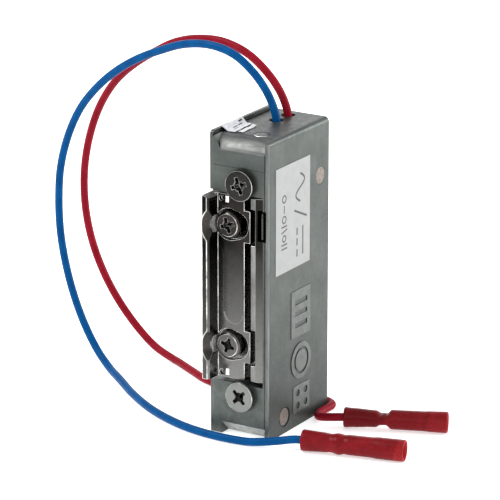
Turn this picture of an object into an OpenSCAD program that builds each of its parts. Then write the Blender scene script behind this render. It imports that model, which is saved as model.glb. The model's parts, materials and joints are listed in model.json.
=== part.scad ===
// Electric door strike: a slim cast case, a swinging keeper with a sliding latch insert,
// a locking lever, an armature and its coil, and two flying leads with bullet receptacles.
// X runs across the case, -Y is out of the front face, Z is up. Millimetres.

/* [Case] */
// Overall width, over the left cover and the raised marks on the right side
case_w = 16.5; // [16.3:0.1:17.5]
// Depth from the front face to the back
case_d = 28; // [27.8:0.1:30]
// Height of the casting
case_h = 74.5; // [74:0.5:78]
// Thickness of the sheet cover on the left side
cover_t = 0.8; // [0.6:0.1:1]
// How far the cover stands above the casting
cover_proud = 1; // [0.4:0.1:1.5]
// Thickness of the right wall
side_wall = 1.1; // [0.9:0.1:1.3]
// Thickness of the top and bottom walls
end_wall = 1.6; // [1.2:0.1:2]
// Rounding of the front right edge
edge_r = 0.8; // [0.5:0.1:0.9]
// Rounding of the top right edge
top_edge_r = 1.3; // [0.5:0.1:1.5]
// Height of the raised marks on the right side
mark_h = 0.2; // [0.1:0.05:0.3]
// Thickness of the paper seal on top
seal_t = 0.12; // [0.08:0.02:0.15]

/* [Keeper] */
// Height of the keeper
keeper_h = 46; // [44:0.5:46]
// Height of the keeper's lower end above the base of the case
keeper_z = 14.5; // [14.5:0.1:15]
// How far the latch lip stands in front of the case
lip_reach = 4; // [3:0.1:5]
// Thickness of the latch insert's plate
insert_t = 2.2; // [2:0.1:2.2]
// Travel of the latch insert
insert_travel = 1.8; // [1:0.1:1.8]
// Diameter of the keeper's pivot pin
pin_d = 4; // [3.6:0.1:4]
// Radial running clearance of every pivot
running_gap = 0.05; // [0.02:0.01:0.08]

/* [Magnet] */
// Diameter of the wound coil
coil_d = 10; // [8:0.5:10]
// Length of the winding between the bobbin's flanges
coil_len = 10.8; // [9:0.1:10.8]
// Diameter of the iron core
core_d = 5; // [4:0.1:5]

/* [Fasteners] */
// Distance between the two case fixing screws
fixing_pitch = 52.9; // [52:0.1:54]
// Distance between the two insert clamp screws
clamp_pitch = 30.1; // [29:0.1:31]
// Head diameter of the countersunk case screws
fixing_head_d = 7.5; // [7:0.1:7.5]
// Head diameter of the insert clamp screws
clamp_head_d = 6.4; // [6:0.1:6.4]
// Shank diameter of the cover rivets
rivet_d = 3; // [2.5:0.1:3]

/* [Leads] */
// Diameter of each lead over its insulation
lead_d = 2; // [1.8:0.1:2]
// Diameter of a receptacle's insulating sleeve
sleeve_d = 5.3; // [5:0.1:5.5]
// Length of a receptacle
sleeve_len = 25.3; // [22:0.1:26]
// Bore of the receptacle's metal socket
socket_d = 4; // [3.8:0.1:4]

/* [Hidden] */
$fn = 64;

// The front face lies this far in front of the origin, which is under the middle of the whole case
front_y = -(case_d - lip_reach) / 2;
eps = 0.01;

// Case
cover_x = -case_w / 2;
cover_corner_r = 0.9;
open_x = cover_x + cover_t;
right_x = case_w / 2 - mark_h;
inner_x = right_x - side_wall;
front_wall = 1.5;
back_wall = 1.3;
block_d = 9.8;
window_x = 6.4;
window_low = keeper_z - 1.1;
window_high = keeper_z + keeper_h + 0.4;
block_low = keeper_z - 0.3;
cutout_d = 12;
flange_left = -6.9;
foot_left = -5.05;
flange_right = inner_x - 0.05;
top_drop = 3.3;
top_round_r = 5.7;
top_round_y = sqrt(top_round_r ^ 2 - (top_round_r - top_drop) ^ 2);
rib_left = 7.1;
rib_line_d = 0.15;
mould_line_d = 0.12;
mould_line_z = [67.25, 67.5];
foot_chamfer = 3;
lead_hole_r = 1.8;
lead_x = -1.2;
blue_y = 18.8;
red_y = 24.2;

// Pivot of the keeper
pivot = [2.35, 6.25];
pin_r = pin_d / 2;
pin_low = 8;
hub_r = 3.3;

// Keeper, in plan: the floor carries the insert and the rail stands to its right
floor_y = insert_t + 0.05;
floor_t = 1.9;
rail_left = 3;
rail_right = 6.3;
ear_half = 4;
plate_right = 1.3;
ear_right = 2.9;
lip_t = 1.45;
lip_bevel = 0.5;
wall_x = -6.1;
clamp_x = -2.85;
clamp_mid = keeper_z + keeper_h / 2 + 0.55;
clamp_z = [clamp_mid - clamp_pitch / 2, clamp_mid + clamp_pitch / 2];
clamp_head_r = clamp_head_d / 2;
clamp_shank_r = 1.75;
pocket_r = clamp_head_r + 0.2;
bore_r = clamp_head_r + 0.7;
bore_mouth = -2.2;
slot_r = 2.2;
clamp_seat = 1.1;
notch_r = 5.45;
spring_low = 50;
spring_high = 57.6;
spring_window_x = 7.3;
cam_left = -2.4;
cam_right = -1;
cam_back = 9.45;
cam_low = 15.5;
cam_high = 20.5;

// Locking lever, armature and coil
lever_pivot = [14.5, 31];
lever_pin_r = 1;
lever_top = lever_pivot[1] + 8;
lever_left = -3.5;
lever_right = 1.5;
nose_y = 9.55;
nose_low = 16;
nose_high = 20;
arm_pivot = [25, 41.2];
arm_pin_r = 0.75;
arm_low = 40.6;
arm_t = 1.2;
hook_y = [11.4, 12.95];
hook_low = lever_top - 0.25;
coil_x = -0.4;
coil_y = 19.9;
pole_z = arm_low + arm_t + 0.9;
bobbin_low = pole_z + 0.5;
flange_t = 1;
bobbin_high = bobbin_low + coil_len + 2 * flange_t;
bobbin_flange_r = 5.25;
yoke_t = 1.4;
yoke_back = case_d - back_wall;
yoke_front = yoke_back - yoke_t;
yoke_w = 9;
stop_rib_z = 48;

// Fasteners
fixing_x = 0.6;
fixing_mid = 36.95;
fixing_z = [fixing_mid - fixing_pitch / 2, fixing_mid + fixing_pitch / 2];
fixing_r = 2;
fixing_sink = 0.5;
fixing_rim = 0.3;
fixing_tip = 4.1;
rivet_head_r = 2.1;
rivet_head_t = 0.6;
rivet_boss_r = 2.3;
rivet_yz = [[24, 60.8], [7.4, 4.2]];

// Receptacles: rear end of each sleeve's axis, and its heading on the ground
sleeve_r = sleeve_d / 2;
sleeve_entry = 3;
barrel_from = 12;
socket_depth = 1.6;
barrel_wall = 0.3;
blue_end = [17.6, -0.3];
red_end = [18.3, 18.5];
blue_heading = 14.5;
red_heading = 22.7;

// Leads: points on each centreline, from the terminal tag to inside the receptacle
lead_sides = 8;
tag_top = 62;
blue_route = [
    [-2.6, 13.6, 62], [-2.6, 14, 64.2], [-2.1, 15.8, 66.8], [-1.4, 18.2, 69], [-1.2, 18.8, 71.2],
    [-1.2, 18.8, 74.5], [-2, 18.8, 77.5], [-4.2, 18.8, 81.5], [-8, 18.9, 85.6], [-13.2, 19, 89],
    [-20, 19.5, 90.3], [-28, 20.5, 89.3], [-36, 21.8, 86.4], [-43.5, 22.8, 83], [-50.5, 23.8, 78.7],
    [-57, 24.8, 73.3], [-62.6, 25.8, 67], [-67, 26.6, 59], [-70, 27.4, 50], [-71.1, 28, 41],
    [-71, 28.3, 33], [-69.8, 28.2, 26], [-67.3, 27.8, 18], [-63.4, 26.8, 10.5], [-58.6, 25.3, 4.6],
    [-53, 22.4, 1.5], [-46, 17, 1], [-37.2, 9.6, 1], [-26, 2, 1], [-14, -3.2, 1], [-4, -4.9, 1],
    [4.6, -4.4, 1], [11, -2.4, 1.7], [15.6, -0.8, 2.55], [17.6, -0.3, 2.65], [20.4, 0.42, 2.65]];
red_route = [
    [1.8, 13.6, 62], [1.7, 14.2, 64.2], [0.8, 17.5, 66.4], [-0.6, 21.8, 67.8], [-1.1, 23.8, 69.4],
    [-1.2, 24.2, 71.2], [-1.2, 24.2, 74.5], [-2, 24.2, 77.3], [-4.2, 24.3, 81], [-8, 24.4, 84.9],
    [-13.2, 24.7, 88.2], [-20, 25.4, 89.9], [-27.8, 26.6, 89.4], [-35.4, 28, 87.3],
    [-43, 29.6, 83.3], [-50.4, 31.4, 78.6], [-57.2, 33.2, 72.8], [-62.6, 34.6, 65.6],
    [-66.6, 35.8, 57], [-69, 36.8, 48], [-69.8, 37.8, 39], [-69, 38.6, 30.6], [-66.6, 39.2, 22.6],
    [-62.6, 39.6, 15], [-57, 39.8, 8], [-50, 39.2, 2.6], [-42, 36.4, 1], [-34, 31.8, 1],
    [-26, 27.4, 1], [-18.4, 26.6, 1], [-11.6, 29.4, 1], [-4, 31, 1], [2.6, 31, 1], [6.2, 30.4, 1],
    [8.4, 29.4, 1], [9.35, 28.1, 1], [9.4, 26, 1], [9.35, 23.6, 1], [9.6, 21.2, 1], [10.8, 19.2, 1.2],
    [13, 18, 1.8], [15.6, 17.6, 2.4], [18.3, 18.5, 2.65], [20.9, 19.59, 2.65]];

// ---- helpers ----

// Places geometry drawn from the front face into the row frame
module placed() translate([0, front_y, 0]) children();

// A box between two opposite corners
module block(from, to) translate(from) cube(to - from);

// A cylinder whose axis runs along Y, from y0 to y1
module rod_y(r, x, z, y0, y1) translate([x, y0, z]) rotate([-90, 0, 0]) cylinder(r = r, h = y1 - y0);

// A cone whose axis runs along Y
module cone_y(r0, r1, x, z, y0, y1) translate([x, y0, z]) rotate([-90, 0, 0])
    cylinder(r1 = r0, r2 = r1, h = y1 - y0);

// A cylinder whose axis runs along X, at a [y, z] place
module rod_x(r, yz, x0, x1) translate([x0, yz[0], yz[1]]) rotate([0, 90, 0]) cylinder(r = r, h = x1 - x0);

// A slot through Y between two parallel axes, r0 wide at x0 and r1 wide at x1
module tapered_slot_y(r0, x0, r1, x1, z, y0, y1) {
    a = acos((r0 - r1) / (x1 - x0));
    rod_y(r0, x0, z, y0, y1);
    rod_y(r1, x1, z, y0, y1);
    translate([0, y1, z]) rotate([90, 0, 0]) linear_extrude(y1 - y0)
        polygon([[x0 + r0 * cos(a), r0 * sin(a)], [x0 + r0 * cos(a), -r0 * sin(a)],
            [x1 + r1 * cos(a), -r1 * sin(a)], [x1 + r1 * cos(a), r1 * sin(a)]]);
}

// A slot through Y, long across the case, between two axes
module slot_y(r, x0, x1, z, y0, y1) {
    rod_y(r, x0, z, y0, y1);
    rod_y(r, x1, z, y0, y1);
    block([x0, y0, z - r], [x1, y1, z + r]);
}

// What is cut away to round a vertical outer edge standing at +X, -Y of the axis
module edge_cut(r, len) difference() {
    translate([0, -r - 1, 0]) cube([r + 1, r + 1, len]);
    translate([0, 0, -eps]) cylinder(r = r, h = len + 2 * eps);
}

// A cross recess cut into a screw head whose face lies at y0
module cross_recess(x, z, y0, arm, turn) translate([x, y0, z]) rotate([0, turn, 0]) {
    cross_w = 0.85;
    translate([-arm / 2, -eps, -cross_w / 2]) cube([arm, 1.3, cross_w]);
    translate([-cross_w / 2, -eps, -arm / 2]) cube([cross_w, 1.3, arm]);
    rotate([-90, 0, 0]) cylinder(r1 = arm * 0.3, r2 = 0.4, h = 1.6);
}

// ---- case ----

module side_marks() {
    face = right_x - eps;
    difference() {
        block([face, 10.4, 23], [right_x + mark_h, 19.3, 34.8]);
        for (z = [25.4, 28.3, 31.2]) block([right_x, 12, z], [right_x + 1, 17.7, z + 1.2]);
    }
    difference() {
        rod_x(4.6, [15, 16.6], face, right_x + mark_h);
        difference() {
            rod_x(3.4, [15, 16.6], right_x, right_x + 1);
            rod_x(2.7, [15, 16.6], right_x - eps, right_x + 2);
        }
    }
    difference() {
        block([face, 11.5, 3.6], [right_x + mark_h, 19, 10.4]);
        for (y = [13.4, 17.1], z = [5.4, 8.6]) rod_x(0.9, [y, z], right_x, right_x + 1);
    }
}

module case_body() difference() {
    block([open_x, 0, 0], [right_x, case_d, case_h]);
    // rounded front right and top right edges
    translate([right_x - edge_r, edge_r, -eps]) edge_cut(edge_r, case_h + 1);
    translate([right_x - top_edge_r, case_d + eps, case_h - top_edge_r]) rotate([90, 0, 0])
        mirror([0, 1, 0]) edge_cut(top_edge_r, case_d + 1);
    // front of the top wall, rounded between the two side flanges, down to a crisp edge
    difference() {
        block([flange_left, -1, case_h - top_drop], [flange_right, top_round_y, case_h + 1]);
        rod_x(top_round_r, [top_round_y, case_h - top_round_r], flange_left - 1, flange_right + 1);
        translate([flange_left, -2, case_h]) rotate([0, -26, 0]) block([-6, 0, -6], [0, 12, 3]);
    }
    // chamfered foot between the flanges
    translate([foot_left, 0, 0]) rotate([90, 0, 90]) linear_extrude(flange_right - foot_left)
        polygon([[-1, -1], [foot_chamfer + 1, -1], [-1, foot_chamfer + 1]]);
    // chamfer along the top left edge, under the cover
    translate([open_x, case_d + 1, case_h]) rotate([90, 0, 0]) linear_extrude(case_d + 2)
        polygon([[-1, 1], [-1, -1.5], [0, -0.5], [0.5, 0], [1.5, 1]]);
    // back cavity, keeper cavity and the window in the front wall
    block([open_x - 1, block_d, end_wall], [inner_x, case_d - back_wall, case_h - end_wall]);
    block([open_x - 1, front_wall, block_low], [inner_x, block_d + eps, window_high]);
    block([open_x - 1, -1, window_low], [window_x, front_wall + eps, window_high]);
    block([open_x - 1, -1, window_low], [window_x, 5, block_low + eps]);
    block([window_x - eps, -1, spring_low], [spring_window_x, front_wall + eps, spring_high]);
    // shallow line beside the right-hand rib, and the mould line below the top
    block([flange_right - 0.1, -1, foot_chamfer - 0.6], [rib_left, rib_line_d, case_h - top_drop + 0.6]);
    block([open_x - 1, -1, mould_line_z[0]], [case_w, mould_line_d, mould_line_z[1]]);
}

module housing() color("#8b918d") placed() difference() {
    union() {
        case_body();
        side_marks();
        rod_x(rivet_boss_r, rivet_yz[0], open_x, inner_x + eps);
        rod_x(2.2, lever_pivot, lever_right + 0.4, inner_x + eps);
        rod_x(1.5, arm_pivot, 5, inner_x + eps);
        block([coil_x - 2.5, 11.9, stop_rib_z], [inner_x + eps, 14.5, stop_rib_z + 1.2]);
    }
    for (z = fixing_z) {
        rod_y(fixing_r, fixing_x, z, -1, fixing_tip + 0.1);
        cone_y(fixing_r + fixing_sink + 1, fixing_r, fixing_x, z, -1, fixing_sink);
    }
    for (yz = rivet_yz) {
        rod_x(rivet_d / 2, yz, open_x - 1, right_x + 1);
        rod_x(rivet_head_r + 0.05, yz, right_x - rivet_head_t - 0.05, right_x + 1);
    }
    rod_x(rivet_head_r + 0.45, rivet_yz[1], right_x - 0.25, right_x + 1);
    for (y = [blue_y, red_y]) translate([lead_x, y, case_h - 3]) cylinder(r = lead_hole_r, h = 4);
    translate([pivot[0], pivot[1], pin_low]) cylinder(r = pin_r, h = case_h);
    rod_x(lever_pin_r, lever_pivot, 0, inner_x + 0.5);
    rod_x(arm_pin_r, arm_pivot, 0, inner_x + 0.5);
}

module left_cover() color("#7f8582") placed() difference() {
    block([cover_x, 0, 0], [open_x, case_d, case_h + cover_proud]);
    block([cover_x - 1, -1, window_low], [open_x + 1, cutout_d, window_high + 0.2]);
    translate([cover_x - 1, cover_corner_r, case_h + cover_proud - cover_corner_r]) rotate([90, 0, 90])
        difference() {
            translate([-3, 0, 0]) cube([3, 3, 4]);
            translate([0, 0, -1]) cylinder(r = cover_corner_r, h = 6);
        }
    for (yz = rivet_yz) rod_x(rivet_d / 2, yz, cover_x - 1, open_x + 1);
}

module cover_rivets() color("#c9a08f") placed() for (yz = rivet_yz) {
    rod_x(rivet_d / 2, yz, cover_x, right_x - 0.1);
    rod_x(rivet_head_r, yz, right_x - rivet_head_t, right_x - (yz == rivet_yz[1] ? 0.1 : 0));
}

module case_screws() color("#6f6e6b") placed() for (z = fixing_z) difference() {
    cone_h = fixing_head_d / 2 - fixing_r;
    cone_front = fixing_sink - cone_h;
    turn = z > fixing_mid ? 70 : 46;
    union() {
        rod_y(fixing_r, fixing_x, z, fixing_sink - eps, fixing_tip);
        cone_y(fixing_head_d / 2, fixing_r, fixing_x, z, cone_front, fixing_sink);
        rod_y(fixing_head_d / 2, fixing_x, z, cone_front - fixing_rim, cone_front + eps);
    }
    cross_recess(fixing_x, z, cone_front - fixing_rim, 4.2, turn);
}

module side_label() color("#eeeeea") placed()
    block([right_x, 3.1, 40.9], [right_x + 0.1, 18.9, 67.3]);

// A torn paper seal, stuck from the cover's top edge down onto the casting
module seal_label() color("#e4e4e2") placed() difference() {
    top_z = case_h + cover_proud;
    slope_foot = open_x + 1.5;
    intersection() {
        translate([0, case_d, 0]) rotate([90, 0, 0]) linear_extrude(case_d)
            polygon([[cover_x + 0.05, top_z], [open_x, top_z], [slope_foot, case_h], [-2, case_h],
                [-2, case_h + seal_t], [slope_foot + 0.05, case_h + seal_t], [open_x + 0.05, top_z + seal_t],
                [cover_x + 0.05, top_z + seal_t]]);
        translate([0, 0, case_h - 1]) linear_extrude(4)
            polygon([[-7.6, 4.2], [-8.2, 13.9], [-4, 12], [-2.3, 11.5], [-2.2, 5], [-3.95, 4.35]]);
    }
    // the tear between the sheet and its narrow edge strip
    block([-3.8, 5.3, case_h - 1], [-3.5, 13, case_h + 2]);
}

// ---- keeper ----

module keeper_pivot_pin() color("#c4c5c4") placed() translate([pivot[0], pivot[1], pin_low]) {
    cylinder(r = pin_r, h = case_h - pin_low - 0.3);
    translate([0, 0, case_h - pin_low - 0.3]) cylinder(r1 = pin_r, r2 = pin_r - 0.3, h = 0.3);
}

module keeper_plan() {
    translate([open_x + 0.25, floor_y]) square([rail_left - open_x, floor_t]);
    translate(pivot) circle(r = hub_r);
    polygon([[rail_left, 0], [rail_left + 1.4, 0], [rail_right, 0.7], [rail_right, 2.2],
        [pivot[0] + hub_r, pivot[1]], [pivot[0], pivot[1]], [rail_left - 2, floor_y + 1],
        [rail_left - 2, floor_y], [rail_left, floor_y]]);
}

module keeper_base() color("#6b6865") placed() difference() {
    top = keeper_z + keeper_h;
    union() {
        translate([0, 0, keeper_z]) linear_extrude(keeper_h) keeper_plan();
        for (z = clamp_z) rod_y(2.6, clamp_x, z, floor_y + 1, 6);
        block([cam_left, floor_y + 1, cam_low], [cam_right, cam_back, cam_high]);
    }
    translate([pivot[0], pivot[1], 0]) cylinder(r = pin_r + running_gap, h = case_h);
    for (z = clamp_z) {
        rod_y(clamp_shank_r, clamp_x, z, 0, 7);
        block([rail_left - 1, -1, z - ear_half - 0.4], [rail_left + 1.3, floor_y, z + ear_half + 0.5]);
    }
    // window for the keeper spring
    block([-1.4, floor_y + 1.05, spring_low], [case_w, block_d + 1, spring_high]);
    block([rail_left + 1.8, -1, spring_low], [case_w, block_d + 1, spring_high]);
    // chamfered lower end of the rail
    translate([rail_left + 1.4, -1, keeper_z]) rotate([0, 30, 0]) block([0, 0, -2], [4, 2.4, 0]);
}

module insert_plan(right) {
    polygon([[cover_x, -lip_reach + 0.15], [cover_x + 0.15, -lip_reach], [cover_x + lip_t, -lip_reach],
        [cover_x + lip_t + lip_bevel, -lip_reach + lip_bevel], [wall_x, 0], [right, 0], [right, insert_t],
        [cover_x, insert_t]]);
}

module keeper_insert() color("#5a5754") placed() difference() {
    flare = (notch_r - bore_r) / (lip_reach + bore_mouth);
    union() {
        translate([0, 0, keeper_z]) linear_extrude(keeper_h) insert_plan(plate_right);
        for (z = clamp_z) block([0, 0, z - ear_half], [ear_right, insert_t, z + ear_half]);
    }
    for (z = clamp_z) {
        end_x = clamp_x + insert_travel;
        slot_y(slot_r, clamp_x, end_x, z, -1, insert_t + 1);
        tapered_slot_y(bore_r, clamp_x, pocket_r, end_x, z, -1, clamp_seat);
        rod_y(bore_r, clamp_x, z, bore_mouth - eps, 0);
        cone_y(notch_r + flare, bore_r, clamp_x, z, -lip_reach - 1, bore_mouth);
    }
    // shallow panel between the screws
    panel_x = -1.8;
    panel_low = 31;
    panel_high = 44.5;
    for (z = [panel_low, panel_high]) rod_y(2.6, panel_x, z, -1, 0.25);
    block([panel_x - 2.6, -1, panel_low], [panel_x + 2.6, 0.25, panel_high]);
    // small round pocket at each end of the plate
    for (z = [keeper_z + 1.2, keeper_z + keeper_h - 1.2]) rod_y(0.65, wall_x + 1.1, z, -1, 0.9);
    // outer corner of the lip's top and bottom ends
    translate([cover_x + 0.9, -lip_reach - 1, keeper_z + keeper_h]) rotate([0, 30, 0])
        block([0, 0, 0], [3, lip_reach + 1, 2]);
}

module keeper_screws() color("#6a6662") placed() for (z = clamp_z) difference() {
    turn = z > clamp_mid ? 71 : 18;
    face = clamp_seat - 2.2;
    union() {
        rod_y(clamp_shank_r, clamp_x, z, clamp_seat - eps, 6);
        rod_y(clamp_head_r, clamp_x, z, face + 0.4, clamp_seat);
        cone_y(clamp_head_r - 0.4, clamp_head_r, clamp_x, z, face, face + 0.4 + eps);
    }
    cross_recess(clamp_x, z, face, 3.8, turn);
}

// A tube swept along a list of points, with a steady frame carried from ring to ring
function unit(v) = v / norm(v);
function heading(p, i) = unit(p[min(i + 1, len(p) - 1)] - p[max(i - 1, 0)]);
function square_to(v, t) = unit(v - (v * t) * t);
function carried(p, first) = [for (i = 0, u = square_to(first, heading(p, 0)); i < len(p);
    i = i + 1, u = i < len(p) ? square_to(u, heading(p, i)) : u) u];
function ring(c, u, v, r, sides) = [for (k = [0 : sides - 1])
    c + r * (cos(360 * k / sides) * u + sin(360 * k / sides) * v)];

module swept_tube(p, r, sides, first) {
    frame = carried(p, first);
    last = len(p) - 1;
    points = [for (i = [0 : last]) each ring(p[i], frame[i], cross(heading(p, i), frame[i]), r, sides)];
    walls = [for (i = [0 : last - 1], k = [0 : sides - 1])
        let (a = i * sides + k, b = i * sides + (k + 1) % sides)
        each [[a, a + sides, b], [b, a + sides, b + sides]]];
    ends = [[for (k = [0 : sides - 1]) k], [for (k = [sides - 1 : -1 : 0]) last * sides + k]];
    polyhedron(points, concat(walls, ends));
}

// Points along a helical spring that stands on z = 0
function helix(r, turns, pitch, steps) = [for (i = [0 : steps * turns])
    [r * cos(360 * i / steps), r * sin(360 * i / steps), pitch * i / steps]];

module keeper_spring() color("#b9b8b5") placed()
    translate([pivot[0], pivot[1], spring_low + 0.6]) {
        // the front leg stands in the window, and the back leg points into the case
        front_leg = [[3.45, -5.3, -0.1], [3.45, -5.3, 5.6], [3.3, -5, 6.2], [3, -3.6, 6.3],
            [2.6, -1.5, 6.25]];
        coil = helix(2.45, 6.5, 0.95, 14);
        back_leg = [[-3, 1.4, 0], [-4.4, 3.2, -0.05]];
        turns = [for (p = coil) [p[0], -p[1], 6.2 - p[2]]];
        swept_tube(concat(front_leg, turns, back_leg), 0.36, 6, [0, 1, 0]);
    }

// ---- lock ----

module locking_lever() color("#8f9090") placed() difference() {
    union() {
        rod_x(2, lever_pivot, open_x + 0.25, lever_right);
        block([lever_left, lever_pivot[0] - 1.2, nose_low + 1],
            [lever_right, lever_pivot[0] + 1.2, lever_top]);
        block([lever_left, nose_y, nose_low], [lever_right, lever_pivot[0], nose_high]);
    }
    rod_x(lever_pin_r + running_gap, lever_pivot, cover_x, case_w);
}

module locking_lever_pin() color("#c4c5c4") placed() rod_x(lever_pin_r, lever_pivot, open_x, inner_x + 0.5);

module lever_spring() color("#b9b8b5") placed() {
    reach = case_d - back_wall - lever_pivot[0] - 1.7;
    turns = 7;
    translate([-1, lever_pivot[0] + 1.45, 24]) rotate([-90, 0, 0])
        swept_tube(helix(1.6, turns, reach / turns, 12), 0.22, 6, [0, 0, 1]);
}

module armature() color("#9a9b98") placed() difference() {
    union() {
        rod_x(1.25, arm_pivot, open_x + 0.25, 4.8);
        block([-4, hook_y[0], arm_low], [3.2, arm_pivot[0], arm_low + arm_t]);
        block([lever_left, hook_y[0], hook_low], [lever_right, hook_y[1], arm_low + arm_t]);
    }
    rod_x(arm_pin_r + running_gap, arm_pivot, cover_x, case_w);
}

module armature_pin() color("#c4c5c4") placed() rod_x(arm_pin_r, arm_pivot, open_x, inner_x + 0.5);

module armature_spring() color("#b9b8b5") placed() {
    low = arm_low + arm_t + 0.25;
    height = stop_rib_z - low - 0.25;
    turns = 4;
    translate([-1, 13.2, low]) swept_tube(helix(0.95, turns, height / turns, 12), 0.18, 6, [0, 0, 1]);
}

module coil_bobbin() color("#2c2c2c") placed() difference() {
    union() {
        translate([coil_x, coil_y, 0]) {
            translate([0, 0, bobbin_low]) cylinder(r = core_d / 2 + 0.6, h = bobbin_high - bobbin_low);
            for (z = [bobbin_low, bobbin_high - flange_t]) translate([0, 0, z])
                cylinder(r = bobbin_flange_r, h = flange_t);
        }
        block([-4.2, 12.6, bobbin_high - flange_t], [3.4, coil_y - 3, bobbin_high]);
    }
    translate([coil_x, coil_y, 0]) cylinder(r = core_d / 2, h = case_h);
    for (x = [-3.4, 1]) block([x, 13.35, 0], [x + 1.6, 13.85, case_h]);
}

module ring_solid(r0, r1, z0, z1) translate([coil_x, coil_y, z0]) difference() {
    cylinder(r = r1, h = z1 - z0);
    translate([0, 0, -1]) cylinder(r = r0, h = z1 - z0 + 2);
}

module coil_winding() color("#a2542f") placed()
    ring_solid(core_d / 2 + 0.6, coil_d / 2 - 0.15, bobbin_low + flange_t, bobbin_high - flange_t);

module coil_tape() color("#d9c27a") placed()
    ring_solid(coil_d / 2 - 0.15, coil_d / 2, bobbin_low + flange_t, bobbin_high - flange_t);

module coil_core() color("#8d8e8c") placed() translate([coil_x, coil_y, pole_z])
    cylinder(r = core_d / 2, h = bobbin_high + yoke_t - pole_z);

module magnet_yoke() color("#8d8e8c") placed() difference() {
    union() {
        block([coil_x - yoke_w / 2, coil_y - 4.5, bobbin_high],
            [coil_x + yoke_w / 2, yoke_back, bobbin_high + yoke_t]);
        block([coil_x - yoke_w / 2, yoke_front, arm_pivot[1] + 1.7],
            [coil_x + yoke_w / 2, yoke_back, bobbin_high + eps]);
    }
    translate([coil_x, coil_y, 0]) cylinder(r = core_d / 2, h = case_h);
}

module terminal_tags() color("#cfc08a") placed()
    for (x = [-3.4, 1]) block([x, 13.35, bobbin_high - flange_t - 0.8], [x + 1.6, 13.85, tag_top - 0.05]);

module lead_clamp() color("#d8d6cf") placed() difference() {
    block([-3.8, 16.6, 71.4], [1.4, 26.4, case_h - end_wall]);
    for (y = [blue_y, red_y]) translate([lead_x, y, 60]) cylinder(r = lead_d / 2 + 0.08, h = 20);
}

// ---- leads and receptacles ----

module blue_lead() color("#0b4f9c") placed() swept_tube(blue_route, lead_d / 2, lead_sides, [0, 1, 0.2]);

module red_lead() color("#c4203a") placed() swept_tube(red_route, lead_d / 2, lead_sides, [0, 1, 0.2]);

// Lays a piece drawn along +Z from its rear end down on the ground at a receptacle's place
module at_end(end, angle) placed() translate([end[0], end[1], sleeve_r]) rotate([0, 0, angle])
    rotate([0, 90, 0]) children();

module sleeve() difference() {
    union() {
        cylinder(r = sleeve_r - 0.2, h = sleeve_len);
        translate([0, 0, sleeve_len - 11]) cylinder(r = sleeve_r, h = 11);
    }
    translate([0, 0, -1]) cylinder(r = lead_d / 2 + 0.08, h = sleeve_entry + 1);
    translate([0, 0, barrel_from]) cylinder(r = socket_d / 2 + barrel_wall, h = sleeve_len);
}

module socket() translate([0, 0, barrel_from]) difference() {
    cylinder(r = socket_d / 2 + barrel_wall, h = sleeve_len - barrel_from - socket_depth);
    translate([0, 0, 0.8]) cylinder(r = socket_d / 2, h = sleeve_len);
}

module blue_sleeve() color("#b3232f") at_end(blue_end, blue_heading) sleeve();
module blue_socket() color("#b9b4a4") at_end(blue_end, blue_heading) socket();
module red_sleeve() color("#b3232f") at_end(red_end, red_heading) sleeve();
module red_socket() color("#b9b4a4") at_end(red_end, red_heading) socket();

housing();
left_cover();
cover_rivets();
keeper_pivot_pin();
keeper_base();
keeper_insert();
keeper_screws();
keeper_spring();
locking_lever();
locking_lever_pin();
lever_spring();
armature();
armature_pin();
armature_spring();
coil_bobbin();
coil_winding();
coil_tape();
coil_core();
magnet_yoke();
terminal_tags();
lead_clamp();
case_screws();
side_label();
seal_label();
blue_lead();
red_lead();
blue_sleeve();
blue_socket();
red_sleeve();
red_socket();
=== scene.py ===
import json
import math

import bmesh
import bpy
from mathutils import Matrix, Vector


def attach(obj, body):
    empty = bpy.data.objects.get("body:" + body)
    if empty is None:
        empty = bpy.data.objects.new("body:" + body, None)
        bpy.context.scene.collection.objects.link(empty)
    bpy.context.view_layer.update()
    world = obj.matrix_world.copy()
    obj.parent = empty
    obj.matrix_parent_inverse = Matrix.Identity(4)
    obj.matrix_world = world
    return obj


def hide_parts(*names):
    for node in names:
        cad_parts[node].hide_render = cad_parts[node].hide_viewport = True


# Electric door strike. Routes and small shapes are written in millimetres from the case's front
# face, as in the CAD source, and point() turns them into the shared frame in metres. The rules that
# choose a face's look read the shared frame's own millimetres, where the front face is at FRONT_Y.
MM = 0.001
FRONT_Y = -12.0
TAU = 2 * math.pi

# The screws on the front: how far across, and the heights of the upper and the lower one
CASE_SCREW_X, CASE_SCREW_Z = 0.6, (63.4, 10.5)
CLAMP_SCREW_X, CLAMP_SCREW_Z = -2.85, (53.1, 23.0)
MIDDLE_Z = 38.0

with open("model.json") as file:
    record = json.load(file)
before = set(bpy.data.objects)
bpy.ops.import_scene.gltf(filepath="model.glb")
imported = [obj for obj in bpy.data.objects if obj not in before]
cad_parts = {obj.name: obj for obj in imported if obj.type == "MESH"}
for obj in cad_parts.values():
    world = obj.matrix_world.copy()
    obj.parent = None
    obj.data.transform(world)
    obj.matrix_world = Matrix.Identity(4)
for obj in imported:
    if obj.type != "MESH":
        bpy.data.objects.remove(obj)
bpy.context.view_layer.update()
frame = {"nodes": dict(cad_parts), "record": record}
nodes = frame["nodes"]


def point(x, y, z):
    return Vector((x, y + FRONT_Y, z)) * MM


# ---- camera ----

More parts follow.
